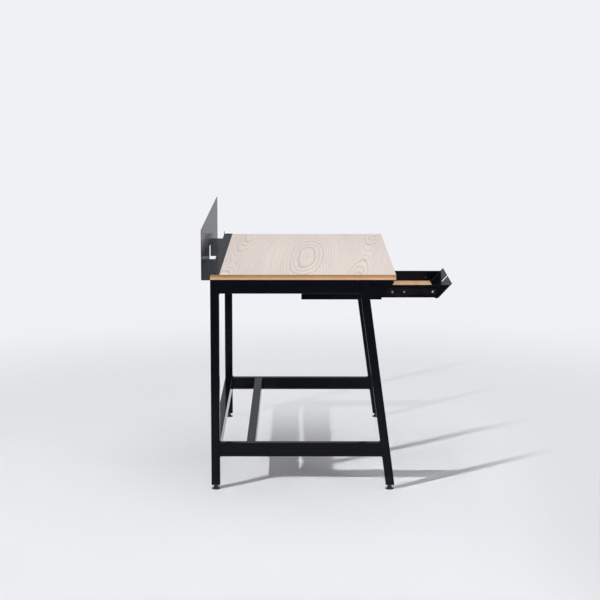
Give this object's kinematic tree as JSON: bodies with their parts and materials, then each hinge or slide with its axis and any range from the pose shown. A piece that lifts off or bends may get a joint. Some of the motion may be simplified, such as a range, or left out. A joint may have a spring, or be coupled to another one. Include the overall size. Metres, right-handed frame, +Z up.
{
  "type": "drafting table",
  "caption": "Drafting desk with a flat oak top on raked black steel tube frames, a rear screen with cable gutter, and a shallow centre drawer on slides.",
  "frame": {"origin": "on the floor under the centre of the bounding box, with the drawer open as stored", "axes": "+X along the desk's length to the user's right, -Y towards the user and the drawer, +Y towards the rear screen, +Z up"},
  "size_m": [1.2, 0.885, 0.902],
  "materials": {
    "oak_veneer": "oak face veneer, matt clear lacquer, pale pinkish tone, warm plywood edges",
    "plywood": "thin light brown plywood, matt",
    "powder_coat": "satin black powder coat",
    "black_zinc": "black zinc plated steel",
    "zinc_steel": "bright zinc plated steel",
    "black_plastic": "black moulded nylon"
  },
  "bodies": {
    "frame": {"table_top": "oak_veneer", "left_rear_leg": "powder_coat", "left_front_leg": "powder_coat", "left_top_rail": "powder_coat", "left_lower_rail": "powder_coat", "right_rear_leg": "powder_coat", "right_front_leg": "powder_coat", "right_top_rail": "powder_coat", "right_lower_rail": "powder_coat", "rear_stretcher": "powder_coat", "middle_stretcher": "powder_coat", "rear_top_rail": "powder_coat", "middle_top_rail": "powder_coat", "left_brackets": "powder_coat", "right_brackets": "powder_coat", "bracket_screws": "zinc_steel", "back_screen": "powder_coat", "strip_screws": "black_zinc", "foot_insert_rear_left": "black_plastic", "foot_insert_rear_right": "black_plastic", "foot_insert_front_left": "black_plastic", "foot_insert_front_right": "black_plastic", "case_left_side": "powder_coat", "case_right_side": "powder_coat", "case_back": "powder_coat", "case_screws": "zinc_steel", "left_case_channel": "powder_coat", "right_case_channel": "powder_coat", "case_bumpers": "black_plastic", "case_rivets": "zinc_steel", "left_slide_outer": "black_zinc", "right_slide_outer": "black_zinc"},
    "drawer": {"drawer_left_side": "powder_coat", "drawer_right_side": "powder_coat", "drawer_back": "powder_coat", "drawer_bottom": "plywood", "drawer_front": "powder_coat", "drawer_screws": "zinc_steel", "left_slide_inner": "black_zinc", "right_slide_inner": "black_zinc"},
    "left_middle_member": {"left_slide_middle": "black_zinc", "left_slide_stud": "zinc_steel"},
    "left_outer_cage_strip": {"left_outer_cage": "zinc_steel"},
    "left_inner_cage_strip": {"left_inner_cage": "zinc_steel"},
    "right_middle_member": {"right_slide_middle": "black_zinc", "right_slide_stud": "zinc_steel"},
    "right_outer_cage_strip": {"right_outer_cage": "zinc_steel"},
    "right_inner_cage_strip": {"right_inner_cage": "zinc_steel"},
    "foot_rear_left": {"foot_pad_rear_left": "black_plastic"},
    "stem_rear_left": {"foot_stem_rear_left": "black_zinc"},
    "foot_rear_right": {"foot_pad_rear_right": "black_plastic"},
    "stem_rear_right": {"foot_stem_rear_right": "black_zinc"},
    "foot_front_left": {"foot_pad_front_left": "black_plastic"},
    "stem_front_left": {"foot_stem_front_left": "black_zinc"},
    "foot_front_right": {"foot_pad_front_right": "black_plastic"},
    "stem_front_right": {"foot_stem_front_right": "black_zinc"}
  },
  "joints": [
    {"name": "drawer_slide", "type": "slide", "parent": "frame", "child": "drawer", "axis": [0, -1, 0], "range_m": [-0.2, 0.086]},
    {"name": "left_middle_travel", "type": "slide", "parent": "frame", "child": "left_middle_member", "axis": [0, -1, 0], "range_m": [-0.101, 0.044]},
    {"name": "left_outer_cage_travel", "type": "slide", "parent": "frame", "child": "left_outer_cage_strip", "axis": [0, -1, 0], "range_m": [-0.051, 0.0225]},
    {"name": "left_inner_cage_travel", "type": "slide", "parent": "frame", "child": "left_inner_cage_strip", "axis": [0, -1, 0], "range_m": [-0.151, 0.0655]},
    {"name": "right_middle_travel", "type": "slide", "parent": "frame", "child": "right_middle_member", "axis": [0, -1, 0], "range_m": [-0.101, 0.044]},
    {"name": "right_outer_cage_travel", "type": "slide", "parent": "frame", "child": "right_outer_cage_strip", "axis": [0, -1, 0], "range_m": [-0.051, 0.0225]},
    {"name": "right_inner_cage_travel", "type": "slide", "parent": "frame", "child": "right_inner_cage_strip", "axis": [0, -1, 0], "range_m": [-0.151, 0.0655]},
    {"name": "foot_rear_left_height", "type": "slide", "parent": "frame", "child": "foot_rear_left", "axis": [0, 0, -1], "range_m": [-0.004, 0.01]},
    {"name": "foot_rear_left_thread", "type": "hinge", "parent": "foot_rear_left", "child": "stem_rear_left", "pos_m": [-0.583, 0.3975, 0.02], "axis": [0, 0, -1], "range_deg": [-965, 2405]},
    {"name": "foot_rear_right_height", "type": "slide", "parent": "frame", "child": "foot_rear_right", "axis": [0, 0, -1], "range_m": [-0.004, 0.01]},
    {"name": "foot_rear_right_thread", "type": "hinge", "parent": "foot_rear_right", "child": "stem_rear_right", "pos_m": [0.583, 0.3975, 0.02], "axis": [0, 0, -1], "range_deg": [-965, 2405]},
    {"name": "foot_front_left_height", "type": "slide", "parent": "frame", "child": "foot_front_left", "axis": [0, 0, -1], "range_m": [-0.004, 0.01]},
    {"name": "foot_front_left_thread", "type": "hinge", "parent": "foot_front_left", "child": "stem_front_left", "pos_m": [-0.583, -0.20288, 0.02], "axis": [0, 0, -1], "range_deg": [-965, 2405]},
    {"name": "foot_front_right_height", "type": "slide", "parent": "frame", "child": "foot_front_right", "axis": [0, 0, -1], "range_m": [-0.004, 0.01]},
    {"name": "foot_front_right_thread", "type": "hinge", "parent": "foot_front_right", "child": "stem_front_right", "pos_m": [0.583, -0.20288, 0.02], "axis": [0, 0, -1], "range_deg": [-965, 2405]}
  ],
  "couplings": [
    {"joint": "left_middle_travel", "follows": "drawer_slide", "ratio": 0.5},
    {"joint": "left_outer_cage_travel", "follows": "drawer_slide", "ratio": 0.25},
    {"joint": "left_inner_cage_travel", "follows": "drawer_slide", "ratio": 0.75},
    {"joint": "right_middle_travel", "follows": "drawer_slide", "ratio": 0.5},
    {"joint": "right_outer_cage_travel", "follows": "drawer_slide", "ratio": 0.25},
    {"joint": "right_inner_cage_travel", "follows": "drawer_slide", "ratio": 0.75},
    {"joint": "foot_rear_left_thread", "follows": "foot_rear_left_height", "rad_per_m": 4188.8},
    {"joint": "foot_rear_right_thread", "follows": "foot_rear_right_height", "rad_per_m": 4188.8},
    {"joint": "foot_front_left_thread", "follows": "foot_front_left_height", "rad_per_m": 4188.8},
    {"joint": "foot_front_right_thread", "follows": "foot_front_right_height", "rad_per_m": 4188.8}
  ]
}
